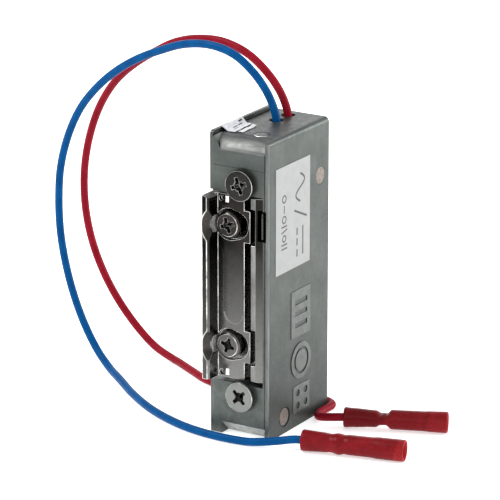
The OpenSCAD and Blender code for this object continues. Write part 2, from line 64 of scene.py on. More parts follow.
def make_camera():
    azimuth, elevation, distance = math.radians(31.36), math.radians(17.66), 0.844
    target, aside, above = Vector((0, 0.002, 0.038)), 0.00485, 0.00512
    back = Vector((math.sin(azimuth) * math.cos(elevation),
                   -math.cos(azimuth) * math.cos(elevation), math.sin(elevation)))
    right = Vector((math.cos(azimuth), math.sin(azimuth), 0))
    up = back.cross(right)
    data = bpy.data.cameras.new("camera")
    data.lens = 252
    data.sensor_width = 36
    data.clip_start = 0.05
    camera = bpy.data.objects.new("camera", data)
    camera.location = target - right * aside + up * above + back * distance
    camera.rotation_euler = back.to_track_quat("Z", "Y").to_euler()
    bpy.context.scene.collection.objects.link(camera)
    bpy.context.scene.camera = camera


make_camera()


# ---- small helpers ----

def add_object(name, data):
    piece = bpy.data.objects.new(name, data)
    bpy.context.scene.collection.objects.link(piece)
    return piece


def finish_piece(piece, body, slot, *stands_for):
    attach(piece, body)
    if stands_for:
        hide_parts(*stands_for)
    return piece


def mesh_piece(name, verts, faces, smooth=True):
    mesh = bpy.data.meshes.new(name)
    mesh.from_pydata([tuple(v) for v in verts], [], faces)
    mesh.update()
    bm = bmesh.new()
    bm.from_mesh(mesh)
    bmesh.ops.recalc_face_normals(bm, faces=bm.faces)
    bm.to_mesh(mesh)
    bm.free()
    for polygon in mesh.polygons:
        polygon.use_smooth = smooth
    return add_object(name, mesh)


def smooth_step(a, b, t):
    t = min(max((t - a) / (b - a), 0.0), 1.0)
    return t * t * (3 - 2 * t)


# ---- materials ----

# A colour Mix node's sockets: factor, first colour, second colour, and the mixed colour
MIX_INPUTS = (0, 6, 7)
MIX_OUTPUT = 2


class Paint:
    """One node material: each method adds a node and returns its output socket."""

    def __init__(self, name, **sockets):
        self.material = bpy.data.materials.new(name)
        self.material.use_nodes = True
        self.tree = self.material.node_tree
        self.shader = self.tree.nodes["Principled BSDF"]
        for key, value in sockets.items():
            self.shader.inputs[key.replace("_", " ")].default_value = value
        where = self.tree.nodes.new("ShaderNodeTexCoord")
        self.place = where.outputs["Object"]

    def link(self, output, node, name):
        self.tree.links.new(output, node.inputs[name])

    def stretched(self, scale):
        node = self.tree.nodes.new("ShaderNodeMapping")
        node.inputs["Scale"].default_value = scale
        self.link(self.place, node, "Vector")
        return node.outputs["Vector"]

    def noise(self, per_mm, detail=3.0, rough=0.5, stretch=None, distortion=0.0):
        node = self.tree.nodes.new("ShaderNodeTexNoise")
        node.inputs["Scale"].default_value = per_mm / MM
        node.inputs["Detail"].default_value = detail
        node.inputs["Roughness"].default_value = rough
        node.inputs["Distortion"].default_value = distortion
        self.link(self.stretched(stretch) if stretch else self.place, node, "Vector")
        return node.outputs["Fac"]

    def bands(self, axis, per_mm, distortion=0.0):
        node = self.tree.nodes.new("ShaderNodeTexWave")
        node.bands_direction = axis
        node.inputs["Scale"].default_value = per_mm / MM
        node.inputs["Distortion"].default_value = distortion
        self.link(self.place, node, "Vector")
        return node.outputs["Fac"]

    def ramp(self, source, *stops):
        node = self.tree.nodes.new("ShaderNodeValToRGB")
        elements = node.color_ramp.elements
        while len(elements) < len(stops):
            elements.new(0.5)
        for element, (at, colour) in zip(elements, stops):
            element.position = at
            element.color = (*colour, 1.0) if isinstance(colour, tuple) else (colour,) * 3 + (1.0,)
        self.link(source, node, "Fac")
        return node.outputs["Color"]

    def along(self, axis, low_mm, high_mm, at_low, at_high):
        """A value that runs from at_low to at_high along one axis of the frame."""
        split = self.tree.nodes.new("ShaderNodeSeparateXYZ")
        self.link(self.place, split, "Vector")
        return self.between(split.outputs[axis], at_low, at_high, low_mm * MM, high_mm * MM)

    def mix(self, factor, a, b):
        node = self.tree.nodes.new("ShaderNodeMix")
        node.data_type = "RGBA"
        for at, value in zip(MIX_INPUTS, (factor, a, b)):
            socket = node.inputs[at]
            if isinstance(value, bpy.types.NodeSocket):
                self.tree.links.new(value, socket)
            elif isinstance(value, tuple):
                socket.default_value = (*value, 1.0)
            else:
                socket.default_value = value
        return node.outputs[MIX_OUTPUT]

    def between(self, source, low, high, from_low=0.3, from_high=0.7):
        node = self.tree.nodes.new("ShaderNodeMapRange")
        for key, value in (("From Min", from_low), ("From Max", from_high),
                           ("To Min", low), ("To Max", high)):
            node.inputs[key].default_value = value
        self.link(source, node, "Value")
        return node.outputs["Result"]

    def bump(self, source, depth_mm, strength=1.0, under=None):
        node = self.tree.nodes.new("ShaderNodeBump")
        node.inputs["Strength"].default_value = strength
        node.inputs["Distance"].default_value = depth_mm * MM
        self.link(source, node, "Height")
        if under is not None:
            self.link(under, node, "Normal")
        return node.outputs["Normal"]

    def done(self, colour=None, roughness=None, normal=None):
        for name, output in (("Base Color", colour), ("Roughness", roughness), ("Normal", normal)):
            if output is not None:
                self.link(output, self.shader, name)
        return self.material


def cast_zinc(name, dark, light, rough=(0.38, 0.5), metallic=0.8):
    """Die-cast zinc: slow mottling, faint vertical drag marks, a fine grain, and a painted floor reflection
    low down.
    """
    p = Paint(name, Metallic=metallic)
    mottle = p.noise(0.16, 4.0, 0.55, distortion=0.3)
    drag = p.noise(0.7, 3.0, 0.55, stretch=(1.0, 1.0, 0.14))
    colour = p.ramp(mottle, (0.32, dark), (0.68, light))
    colour = p.mix(p.between(drag, 0.0, 0.3), colour, tuple(c * 0.8 for c in dark))
    # painted floor reflection: the front lightens in cloudy patches towards its foot, and past x 7.4 mm it
    # turns darker instead
    painted_foot_reflection = p.ramp(p.noise(0.3, 4.0, 0.6, distortion=0.6), (0.36, light),
                   (0.66, tuple(c * 1.9 for c in light)))
    low = p.mix(p.along("X", 7.4, 7.9, 0.0, 1.0), painted_foot_reflection, tuple(c * 0.8 for c in dark))
    colour = p.mix(p.along("Z", 2, 34, 0.6, 0.0), colour, low)
    normal = p.bump(p.noise(8.0, 2.0, 0.6), 0.003, 0.4, under=p.bump(p.noise(0.5, 3.0, 0.5), 0.03, 0.3))
    return p.done(colour, p.between(p.noise(1.0, 3.0), *rough), normal)


def streaked_zinc():
    """The rounded front of the top, rubbed along its length, with a painted highlight towards its lower
    edge.
    """
    p = Paint("streaked_zinc", Metallic=0.85)
    streak = p.noise(0.3, 4.0, 0.6, stretch=(0.35, 1.0, 2.0))
    colour = p.ramp(streak, (0.3, (0.05, 0.053, 0.05)), (0.7, (0.17, 0.178, 0.17)))
    # painted highlight: the streaks run lighter towards the lower edge
    bright = p.ramp(streak, (0.3, (0.06, 0.063, 0.061)), (0.66, (0.17, 0.175, 0.171)))
    colour = p.mix(p.along("Z", 71.3, 73.0, 1.0, 0.0), colour, bright)
    lines = p.noise(1.5, 2.0, 0.6, stretch=(0.35, 1.0, 2.0))
    return p.done(colour, p.between(p.noise(0.5, 3.0), 0.4, 0.56), p.bump(lines, 0.006, 0.5))


def dark_nickel(name, tone, painted_reflection_tone, rough=(0.2, 0.32), brown=(0.13, 0.118, 0.106)):
    """Black-nickel plate: glossy, a little brown and rubbed lighter in places, lightened towards its low end
    by a painted floor reflection.
    """
    p = Paint(name, Metallic=1.0)
    colour = p.ramp(p.noise(0.2, 3.0, 0.5), (0.38, tone), (0.66, brown))
    # painted floor reflection: the colour runs to the lighter low tone towards the bottom
    colour = p.mix(p.along("Z", 12, 48, 1.0, 0.0), colour, painted_reflection_tone)
    rub = p.noise(1.1, 3.0, 0.6)
    colour = p.mix(p.between(rub, 0.0, 0.4, 0.62, 0.78), colour, tuple(c * 1.8 for c in tone))
    normal = p.bump(p.noise(2.2, 2.0, 0.4), 0.003, 0.3, under=p.bump(p.noise(0.35, 2.0), 0.03, 0.35))
    return p.done(colour, p.between(p.noise(0.9, 2.0), *rough), normal)


def metal(name, dark, light, per_mm, rough, stretch=None, metallic=1.0):
    """Plain metal with tone drift and fine drawn or turned marks along one direction."""
    p = Paint(name, Metallic=metallic)
    colour = p.ramp(p.noise(per_mm, 4.0, 0.6, stretch=stretch), (0.3, dark), (0.7, light))
    lines = p.noise(per_mm * 5, 2.0, 0.6, stretch=stretch)
    return p.done(colour, p.between(p.noise(per_mm * 1.7, 3.0), *rough), p.bump(lines, 0.006, 0.5))


def polymer(name, dark, light, rough, per_mm=0.5, gloss=0.3):
    """Moulded or extruded plastic: slow colour drift, a soft uneven skin and fine grain."""
    p = Paint(name)
    p.shader.inputs["Specular IOR Level"].default_value = gloss
    colour = p.ramp(p.noise(per_mm, 4.0, 0.55), (0.32, dark), (0.68, light))
    normal = p.bump(p.noise(7.0, 2.0), 0.004, 0.4, under=p.bump(p.noise(1.2, 2.0), 0.02, 0.4))
    return p.done(colour, p.between(p.noise(1.5, 3.0), *rough), normal)


def white_paper():
    p = Paint("white_paper", Roughness=0.62)
    p.shader.inputs["Specular IOR Level"].default_value = 0.2
    fibre = p.noise(3.2, 4.0, 0.7, stretch=(1.0, 0.35, 1.0))
    colour = p.ramp(p.noise(0.4, 4.0, 0.6), (0.3, (0.3, 0.303, 0.3)), (0.7, (0.335, 0.337, 0.335)))
    colour = p.mix(p.between(fibre, 0.0, 0.2), colour, (0.272, 0.275, 0.275))
    return p.done(colour, None, p.bump(fibre, 0.006, 0.4))


def seal_foil():
    p = Paint("seal_foil", Metallic=0.1)
    crease = p.noise(1.6, 5.0, 0.65, distortion=0.8)
    # painted shade: the foil is darker in the hollows of its creases
    colour = p.ramp(crease, (0.3, (0.34, 0.35, 0.37)), (0.55, (0.54, 0.55, 0.57)), (0.8, (0.7, 0.7, 0.71)))
    return p.done(colour, p.between(crease, 0.3, 0.55), p.bump(crease, 0.05, 0.7))


def printed_ink():
    p = Paint("printed_ink")
    colour = p.ramp(p.noise(6.0, 3.0, 0.7), (0.35, (0.018, 0.019, 0.02)), (0.75, (0.06, 0.06, 0.062)))
    return p.done(colour, p.between(p.noise(3.0), 0.42, 0.6))


def wound_wire():
    """Turns of enamelled wire lie side by side up the coil, with painted shade in the grooves between them.
    """
    p = Paint("enamelled_wire", Metallic=0.8)
    turns_and_painted_shade = p.bands("Z", 1.6, 0.2)
    colour = p.ramp(turns_and_painted_shade, (0.1, (0.16, 0.045, 0.015)), (0.7, (0.55, 0.21, 0.09)))
    return p.done(colour, p.between(p.noise(1.0), 0.2, 0.34), p.bump(turns_and_painted_shade, 0.12, 0.9))


def vinyl(name, dark, light):
    """Thin red vinyl: soft gloss, cloudy, a little light passes through it."""
    p = Paint(name, Roughness=0.3)
    p.shader.inputs["Specular IOR Level"].default_value = 0.09
    p.shader.inputs["Subsurface Weight"].default_value = 0.12
    p.shader.inputs["Subsurface Radius"].default_value = (1.2 * MM, 0.25 * MM, 0.2 * MM)
    p.shader.inputs["Subsurface Scale"].default_value = 1.0
    colour = p.ramp(p.noise(0.2, 3.0, 0.5, distortion=0.5), (0.32, dark), (0.7, light))
    normal = p.bump(p.noise(1.6, 2.0), 0.002, 0.3, under=p.bump(p.noise(0.35, 2.0), 0.12, 0.35))
    return p.done(colour, p.between(p.noise(0.8, 2.0), 0.24, 0.38), normal)


MATERIALS = {
    "zinc_casting": cast_zinc("zinc_casting", (0.057, 0.065, 0.06), (0.086, 0.096, 0.089)),
    "zinc_sheet": cast_zinc("zinc_sheet", (0.055, 0.06, 0.056), (0.088, 0.094, 0.088), (0.3, 0.42), 0.9),
    "copper_rivet": metal("copper_rivet", (0.12, 0.1, 0.084), (0.22, 0.188, 0.161), 1.0, (0.36, 0.5),
                          metallic=0.7),
    "bright_pin": metal("bright_pin", (0.05, 0.053, 0.052), (0.08, 0.084, 0.083), 0.8, (0.32, 0.45)),
    # In the black-nickel entries below, the lighter second colour is a painted floor reflection towards the
    # low end, so the lower screws are lighter too.
    "dark_nickel": dark_nickel("dark_nickel", (0.011, 0.011, 0.01), (0.165, 0.163, 0.155),
                               brown=(0.022, 0.019, 0.017)),
    "dark_screw": dark_nickel("dark_screw", (0.022, 0.02, 0.019), (0.115, 0.111, 0.106), (0.24, 0.36),
                              (0.034, 0.029, 0.026)),
    "case_screw": dark_nickel("case_screw", (0.02, 0.02, 0.019), (0.185, 0.19, 0.182), (0.28, 0.4),
                              (0.028, 0.026, 0.024)),
    "spring_steel": metal("spring_steel", (0.035, 0.035, 0.033), (0.08, 0.08, 0.077), 1.4, (0.2, 0.32)),
    "plated_steel": metal("plated_steel", (0.20, 0.20, 0.19), (0.34, 0.34, 0.33), 0.8, (0.26, 0.4),
                          (1, 1, 0.2)),
    "soft_iron": metal("soft_iron", (0.2, 0.2, 0.195), (0.3, 0.3, 0.29), 0.9, (0.34, 0.5), (1, 1, 0.3)),
    "black_nylon": polymer("black_nylon", (0.012, 0.012, 0.012), (0.028, 0.028, 0.029), (0.42, 0.55)),
    "enamelled_wire": wound_wire(),
    "amber_tape": polymer("amber_tape", (0.42, 0.25, 0.05), (0.62, 0.42, 0.12), (0.2, 0.34)),
    "tinned_brass": metal("tinned_brass", (0.4, 0.37, 0.29), (0.6, 0.56, 0.46), 1.1, (0.22, 0.36)),
    "ivory_nylon": polymer("ivory_nylon", (0.5, 0.47, 0.4), (0.6, 0.57, 0.5), (0.4, 0.55)),
    "white_paper": white_paper(),
    "seal_foil": seal_foil(),
    "blue_pvc": polymer("blue_pvc", (0.0, 0.047, 0.16), (0.0, 0.066, 0.21), (0.34, 0.46), 0.3, gloss=0.05),
    "red_pvc": polymer("red_pvc", (0.18, 0.004, 0.011), (0.25, 0.007, 0.018), (0.34, 0.46), 0.3, gloss=0.05),
    "red_vinyl": vinyl("red_vinyl", (0.12, 0.003, 0.005), (0.19, 0.006, 0.010)),
}
THIN_VINYL = vinyl("thin_vinyl", (0.17, 0.005, 0.008), (0.25, 0.011, 0.014))
# Painted light at the sleeve's mouth: a highlight on the rim and light inside the open end.
MOUTH_PAINTED_LIGHT = vinyl("vinyl_mouth_painted_light", (0.4, 0.03, 0.03), (0.55, 0.06, 0.06))
WORN_NICKEL = metal("worn_nickel", (0.08, 0.078, 0.072), (0.62, 0.6, 0.57), 0.45, (0.18, 0.32))
RUBBED_NICKEL = metal("rubbed_nickel", (0.13, 0.13, 0.125), (0.3, 0.3, 0.29), 0.4, (0.2, 0.34), (1, 1, 0.3))
# Worn edges of the latch insert, and a painted highlight on the case screws' rims where they face the right
# side.
RIM_WEAR_AND_HIGHLIGHT = metal("rim_wear_and_painted_highlight", (0.1, 0.1, 0.095), (0.85, 0.84, 0.82), 0.3, (0.2, 0.34))
WORN_ZINC = metal("worn_zinc", (0.11, 0.118, 0.112), (0.19, 0.2, 0.19), 0.5, (0.28, 0.4),
                  (0.25, 1.0, 1.0), metallic=0.85)
STREAKED_ZINC = streaked_zinc()
# Painted light on the casting: a lit strip on the rib, a highlight on its corner, and a floor reflection on
# the foot's slope.
RIB_PAINTED_LIGHT = metal("rib_strip_painted_light", (0.066, 0.072, 0.069), (0.15, 0.158, 0.151), 0.5, (0.34, 0.48), (1, 1, 0.3),
                   metallic=0.8)
CORNER_PAINTED_HIGHLIGHT = metal("rib_corner_painted_highlight", (0.1, 0.107, 0.103), (0.21, 0.219, 0.211), 0.4, (0.3, 0.42), (1, 1, 0.2),
                    metallic=0.8)
FOOT_PAINTED_REFLECTION = metal("foot_zinc_painted_reflection", (0.22, 0.235, 0.222), (0.43, 0.446, 0.424), 0.4, (0.4, 0.55), metallic=0.3)
MARK_ZINC = metal("mark_zinc", (0.085, 0.092, 0.087), (0.13, 0.139, 0.131), 0.5, (0.36, 0.48), metallic=0.8)
# Painted shade on the slanted end of the top.
SLANT_PAINTED_SHADE = metal("slant_end_painted_shade", (0.03, 0.032, 0.03), (0.085, 0.09, 0.084), 0.7, (0.42, 0.55), (1, 1, 0.3))
LAND_NICKEL = metal("land_nickel", (0.1, 0.1, 0.096), (0.22, 0.219, 0.212), 0.4, (0.3, 0.45), (1, 1, 0.3))
# A painted highlight on the right-facing walls round the clamp screws.
WALL_PAINTED_HIGHLIGHT = metal("wall_painted_highlight", (0.1, 0.096, 0.088), (0.8, 0.79, 0.76), 0.9, (0.32, 0.46), (1, 1, 0.6),
                   metallic=0.45)
SATIN_END = metal("satin_end", (0.22, 0.22, 0.21), (0.38, 0.38, 0.365), 0.8, (0.45, 0.6))
# Painted shade on the flare of the lip's notches.
FLARE_PAINTED_SHADE = metal("flare_painted_shade", (0.03, 0.029, 0.027), (0.06, 0.057, 0.053), 0.6, (0.24, 0.36))
# Painted shade on the lip's front face.
LIP_PAINTED_SHADE = dark_nickel("lip_nickel_painted_shade", (0.004, 0.004, 0.004), (0.075, 0.074, 0.07),
                         brown=(0.01, 0.009, 0.008))
# Painted shade in the lower screws' cross recesses.
RECESS_PAINTED_SHADE = metal("recess", (0.01, 0.01, 0.01), (0.04, 0.039, 0.037), 1.5, (0.45, 0.6), metallic=0.7)
POLISHED = metal("polished_facet", (0.9, 0.9, 0.88), (0.97, 0.97, 0.96), 1.0, (0.3, 0.4))
INK = printed_ink()


# ---- CAD pieces with softened edges ----

SAME_POINT = 1e-6
FLAT_ANGLE = math.radians(0.4)
SHARP_ANGLE = math.radians(32.0)


def softened(node, body, slot, width, looks=(), choose=None, pick=None, clamp=True, crease=38.0):
    """Copies a CAD node, breaks its sharp edges by width mm and stands for it.

    looks are materials beside the slot's own: choose(centre, normal, worn) gives a face's number among
    them, 0 for its own, and without it the worn edges take the first. pick(a, b) limits the edges broken.
    clamp stops bevels from meeting, and crease is the angle in degrees past which shading stays sharp.
    """
    mesh = nodes[node].data.copy()
    bm = bmesh.new()
    bm.from_mesh(mesh)
    bmesh.ops.remove_doubles(bm, verts=bm.verts, dist=SAME_POINT)
    bmesh.ops.dissolve_limit(bm, angle_limit=FLAT_ANGLE, verts=bm.verts, edges=bm.edges)
    sharp = [e for e in bm.edges if len(e.link_faces) == 2 and e.calc_face_angle(0.0) > SHARP_ANGLE]
    if pick:
        sharp = [e for e in sharp if pick(e.verts[0].co / MM, e.verts[1].co / MM)]
    made = bmesh.ops.bevel(bm, geom=sharp, offset=width * MM, offset_type="OFFSET", segments=2,
                           profile=0.5, affect="EDGES", clamp_overlap=clamp)
    edge_faces = set(made["faces"])
    for face in bm.faces:
        face.smooth = True
        worn = face in edge_faces
        if choose:
            face.material_index = choose(face.calc_center_median() / MM, face.normal, worn)
        else:
            face.material_index = 1 if worn and looks else 0
    bmesh.ops.triangulate(bm, faces=[f for f in bm.faces if len(f.verts) > 4])
    mesh.materials.clear()
    bm.to_mesh(mesh)
    bm.free()
    if mesh.has_custom_normals:
        mesh.attributes.remove(mesh.attributes["custom_normal"])
    mesh.materials.append(MATERIALS[slot])
    for look in looks:
        mesh.materials.append(look)
    piece = add_object(node + "_finish", mesh)
    mesh.set_sharp_from_angle(angle=math.radians(crease))
    weighted = piece.modifiers.new("even_shading", "WEIGHTED_NORMAL")
    weighted.keep_sharp = True
    return finish_piece(piece, body, slot, node)


# ---- leads ----

BLUE_ROUTE = [
    (-2.6, 13.6, 62), (-2.6, 14, 64.2), (-2.1, 15.8, 66.8), (-1.4, 18.2, 69), (-1.2, 18.8, 71.2),
    (-1.2, 18.8, 74.5), (-2, 18.8, 77.5), (-4.2, 18.8, 81.5), (-8, 18.9, 85.6), (-13.2, 19, 89),
    (-20, 19.5, 90.3), (-28, 20.5, 89.3), (-36, 21.8, 86.4), (-43.5, 22.8, 83), (-50.5, 23.8, 78.7),
    (-57, 24.8, 73.3), (-62.6, 25.8, 67), (-67, 26.6, 59), (-70, 27.4, 50), (-71.1, 28, 41),
    (-71, 28.3, 33), (-69.8, 28.2, 26), (-67.3, 27.8, 18), (-63.4, 26.8, 10.5), (-58.6, 25.3, 4.6),
    (-53, 22.4, 1.5), (-46, 17, 1), (-37.2, 9.6, 1), (-26, 2, 1), (-14, -3.2, 1), (-4, -4.9, 1),
    (4.6, -4.4, 1), (11, -2.4, 1.7), (15.6, -0.8, 2.55), (17.6, -0.3, 2.65), (20.4, 0.42, 2.65)]
RED_ROUTE = [
    (1.8, 13.6, 62), (1.7, 14.2, 64.2), (0.8, 17.5, 66.4), (-0.6, 21.8, 67.8), (-1.1, 23.8, 69.4),
    (-1.2, 24.2, 71.2), (-1.2, 24.2, 74.5), (-2, 24.2, 77.3), (-4.2, 24.3, 81), (-8, 24.4, 84.9),
    (-13.2, 24.7, 88.2), (-20, 25.4, 89.9), (-27.8, 26.6, 89.4), (-35.4, 28, 87.3),
    (-43, 29.6, 83.3), (-50.4, 31.4, 78.6), (-57.2, 33.2, 72.8), (-62.6, 34.6, 65.6),
    (-66.6, 35.8, 57), (-69, 36.8, 48), (-69.8, 37.8, 39), (-69, 38.6, 30.6), (-66.6, 39.2, 22.6),
    (-62.6, 39.6, 15), (-57, 39.8, 8), (-50, 39.2, 2.6), (-42, 36.4, 1), (-34, 31.8, 1),
    (-26, 27.4, 1), (-18.4, 26.6, 1), (-11.6, 29.4, 1), (-4, 31, 1), (2.6, 31, 1), (6.2, 30.4, 1),
    (8.4, 29.4, 1), (9.35, 28.1, 1), (9.4, 26, 1), (9.35, 23.6, 1), (9.6, 21.2, 1), (10.8, 19.2, 1.2),
    (13, 18, 1.8), (15.6, 17.6, 2.4), (18.3, 18.5, 2.65), (20.9, 19.59, 2.65)]
LEAD_D = 2.0
ROUTE_STEPS = 6


def smooth_route(route, steps):
    """Centripetal Catmull-Rom through the route's points."""
    pts = [Vector(p) for p in route]
    pts = [pts[0] * 2 - pts[1]] + pts + [pts[-1] * 2 - pts[-2]]
    out = []
    for p0, p1, p2, p3 in zip(pts, pts[1:], pts[2:], pts[3:]):
        t1 = (p1 - p0).length ** 0.5
        t2 = t1 + (p2 - p1).length ** 0.5
        t3 = t2 + (p3 - p2).length ** 0.5
        for k in range(steps):
            t = t1 + (t2 - t1) * k / steps
            a1 = p0 * ((t1 - t) / t1) + p1 * (t / t1)
            a2 = p1 * ((t2 - t) / (t2 - t1)) + p2 * ((t - t1) / (t2 - t1))
            a3 = p2 * ((t3 - t) / (t3 - t2)) + p3 * ((t - t2) / (t3 - t2))
            b1 = a1 * ((t2 - t) / t2) + a2 * (t / t2)
            b2 = a2 * ((t3 - t) / (t3 - t1)) + a3 * ((t - t1) / (t3 - t1))
            out.append(b1 * ((t2 - t) / (t2 - t1)) + b2 * ((t - t1) / (t2 - t1)))
    for p in out:
        p.z = max(p.z, LEAD_D / 2)
    return out + [pts[-2]]


def wire(name, route, steps, radius, sides=6):
    """A round wire along a route, as a curve."""
    data = bpy.data.curves.new(name, "CURVE")
    data.dimensions = "3D"
    data.bevel_depth = radius * MM
    data.bevel_resolution = sides
    data.use_fill_caps = True
    spline = data.splines.new("POLY")
    points = smooth_route(route, steps)
    spline.points.add(len(points) - 1)
    for target, p in zip(spline.points, points):
        target.co = (*point(*p), 1.0)
    spline.use_smooth = True
    return add_object(name, data)


# ---- receptacle sleeves ----

SLEEVE_R = 2.65
SLEEVE_LEN = 25.3
SLEEVE_SIDES = 56
RING_STEP = 0.35
SKIN_T = 0.15
WIRE_BORE_R = 1.06
WIRE_BORE_DEPTH = 3.0
# The lining runs from the mouth back over the socket
LINING_R = 2.31
LINING_STEP = 0.64
LINING_RINGS = 21


def blend_points(stops, s):
    """Smooth value at s along a list of (s, value)."""
    for (s0, v0), (s1, v1) in zip(stops, stops[1:]):
        if s <= s1:
            return v0 + (v1 - v0) * smooth_step(s0, s1, s)
    return stops[-1][1]


def crimped_sleeve(name, end, heading, radii, dents, thin_from):
    """Vinyl sleeve from its rear end, end, towards heading in degrees.

    radii gives (along, tall, wide). Each dent is (along, length, angle round the sleeve, its arc, depth),
    and a depth below zero is a bulge. Past thin_from, along a slanted line, light comes through.
    """
    axis = Vector((math.cos(math.radians(heading)), math.sin(math.radians(heading)), 0))
    up = Vector((0, 0, 1))
    side = up.cross(axis)
    start = Vector((end[0], end[1], SLEEVE_R))

    def skin(s, a, inset):
        tall = blend_points([(r[0], r[1]) for r in radii], s)
        wide = blend_points([(r[0], r[2]) for r in radii], s)
        r = 1.0 / math.sqrt((math.cos(a) / wide) ** 2 + (math.sin(a) / tall) ** 2)
        for at, spread, angle, arc, depth in dents:
            turn = (a - math.radians(angle) + math.pi) % TAU - math.pi
            r -= depth * math.exp(-((s - at) / spread) ** 2 - (turn / math.radians(arc)) ** 2)
        return r - inset

    steps = int((SLEEVE_LEN - 2 * RING_STEP) / RING_STEP) + 1
    rings = [("bore", WIRE_BORE_DEPTH, WIRE_BORE_R), ("bore", 0.35, WIRE_BORE_R), ("bore", 0.0, 1.3)]
    rings += [("skin", 0.0, 0.35), ("skin", 0.1, 0.1)]
    rings += [("skin", RING_STEP + RING_STEP * k, 0.0) for k in range(steps)]
    rings += [("skin", SLEEVE_LEN - 0.1, 0.06), ("skin", SLEEVE_LEN, 0.18), ("skin", SLEEVE_LEN, 0.3)]
    rings += [("lining", SLEEVE_LEN - 0.12 - LINING_STEP * k, LINING_R) for k in range(LINING_RINGS)]
    verts = []
    for kind, s, value in rings:
        for k in range(SLEEVE_SIDES):
            a = TAU * k / SLEEVE_SIDES
            r = value if kind == "bore" else skin(s, a, value if kind == "skin" else SKIN_T)
            r = min(r, value) if kind == "lining" else r
            p = start + axis * s + side * (r * math.cos(a)) + up * (r * math.sin(a))
            verts.append(point(*p))
    n = SLEEVE_SIDES
    faces = [(i * n + k, i * n + (k + 1) % n, (i + 1) * n + (k + 1) % n, (i + 1) * n + k)
             for i in range(len(rings) - 1) for k in range(n)]
    faces.append(tuple(range(n)))
    faces.append(tuple((len(rings) - 1) * n + k for k in reversed(range(n))))
    piece = mesh_piece(name, verts, faces)
    for look in (MATERIALS["red_vinyl"], THIN_VINYL, MOUTH_PAINTED_LIGHT):
        piece.data.materials.append(look)
    # The rim and lining at the mouth take the lighter mouth vinyl: a painted highlight on the rim and
    # painted light inside.
    mouth_from = (len(rings) - LINING_RINGS - 2) * n
    for polygon in piece.data.polygons:
        offset = polygon.center / MM - Vector((0, FRONT_Y, 0)) - start
        thin = offset.dot(axis) > thin_from + 0.25 * offset.z
        polygon.material_index = 2 if polygon.index >= mouth_from else int(thin)
    piece.data.set_sharp_from_angle(angle=math.radians(50))
    return piece


def make_leads():
    blue_sleeve = crimped_sleeve(
        "blue_sleeve_skin", (17.6, -0.3), 14.5,
        [(0, 2.6, 2.5), (5.5, 2.4, 2.42), (7.2, 2.22, 2.3), (9.2, 2.42, 2.5), (10.5, 2.28, 2.36),
         (11.6, 2.42, 2.42), (17, 2.44, 2.46), (19, 2.6, 2.6), (25.3, 2.63, 2.63)],
        [(9.3, 1.0, 262, 46, -0.2), (8.8, 1.0, 95, 40, -0.15), (6.7, 1.1, 165, 50, 0.22),
         (9.0, 0.9, 150, 46, -0.2), (10.6, 0.7, 170, 46, 0.12), (4.2, 1.5, 200, 34, 0.16),
         (18.2, 0.9, 160, 30, 0.2), (14.5, 2.0, 185, 34, 0.05)], 23.2)
    red_sleeve = crimped_sleeve(
        "red_sleeve_skin", (18.3, 18.5), 22.7,
        [(0, 2.5, 2.5), (2.5, 2.35, 2.4), (7.8, 2.05, 2.4), (9.0, 1.35, 2.6), (10.4, 1.3, 2.6),
         (11.6, 2.4, 2.42), (19, 2.43, 2.46), (21.5, 2.55, 2.55), (25.3, 2.63, 2.63)],
        [(9.1, 0.5, 90, 40, 0.18), (9.8, 0.4, 90, 40, -0.2), (10.5, 0.4, 90, 40, 0.12),
         (9.8, 1.0, 250, 50, 0.12), (4.5, 2.2, 200, 40, 0.16)], 20.4)
    for sleeve, node in ((blue_sleeve, "blue_sleeve"), (red_sleeve, "red_sleeve")):
        finish_piece(sleeve, "root", "red_vinyl", node)
    for name, route, length, hole_y, sleeve, socket in (
            ("blue_lead_cord", BLUE_ROUTE, 0.2485, 18.8, blue_sleeve, "blue_socket"),
            ("red_lead_cord", RED_ROUTE, 0.2528, 24.2, red_sleeve, "red_socket")):
        lead = wire(name, route, ROUTE_STEPS, LEAD_D / 2)
        colour = name.split("_")[0]
        lead.data.materials.append(MATERIALS[colour + "_pvc"])
        finish_piece(lead, "root", colour + "_pvc", colour + "_lead")


make_leads()


# ---- metalwork ----

MARK_X = 8.2
RIB_X = 7.15
ROUNDED_TOP_Z = 70
FOOT_Z = 4
CASE_RECESS_R, CLAMP_RECESS_R = 2.6, 2.2
CASE_RIM_R, CLAMP_RIM_R = 3.0, 2.98
RAIL_STRIP_X = 4.3
LIP_FRONT_Y = -15.9
NOTCH_FLOOR_Y = -14.1


def casting_edges(a, b):
    """The raised marks' long edges and the lower edge of the top's rounded front."""
    mid = (a + b) / 2
    by_top = mid.y < FRONT_Y + 0.05 and ROUNDED_TOP_Z < mid.z < 73.5 and mid.x > -6
    return (a - b).length > 1.5 and (mid.x > MARK_X or by_top)


def casting_look(centre, normal, worn):
    """Worn edges 1, the top's rounded front 2, a painted light on the rib's strip 3, a painted highlight on
    its corner 4, a painted floor reflection on the foot's slope 5, painted shade on the slanted end of the
    top 6, the raised marks' faces 7."""
    high = centre.z > ROUNDED_TOP_Z
    if high and normal.y < -0.25 and normal.z > 0.3 and abs(normal.x) < 0.2 and not worn:
        return 2
    # painted floor reflection on the foot's slope
    if normal.y < -0.5 and normal.z < -0.5 and centre.z < FOOT_Z:
        return 5
    # painted light on the rib's strip
    if normal.y < -0.85 and centre.x > RIB_X and centre.y < FRONT_Y + 0.5:
        return 3
    # painted highlight on the rib's corner
    if normal.y < -0.35 and normal.x > 0.3 and centre.x > RIB_X:
        return 4
    # painted shade on the slanted end of the top
    if high and normal.x > 0.5 and normal.z > 0.2 and centre.x < -5:
        return 6
    if normal.x > 0.9 and centre.x > MARK_X and not worn:
        return 7
    return 1 if worn else 0


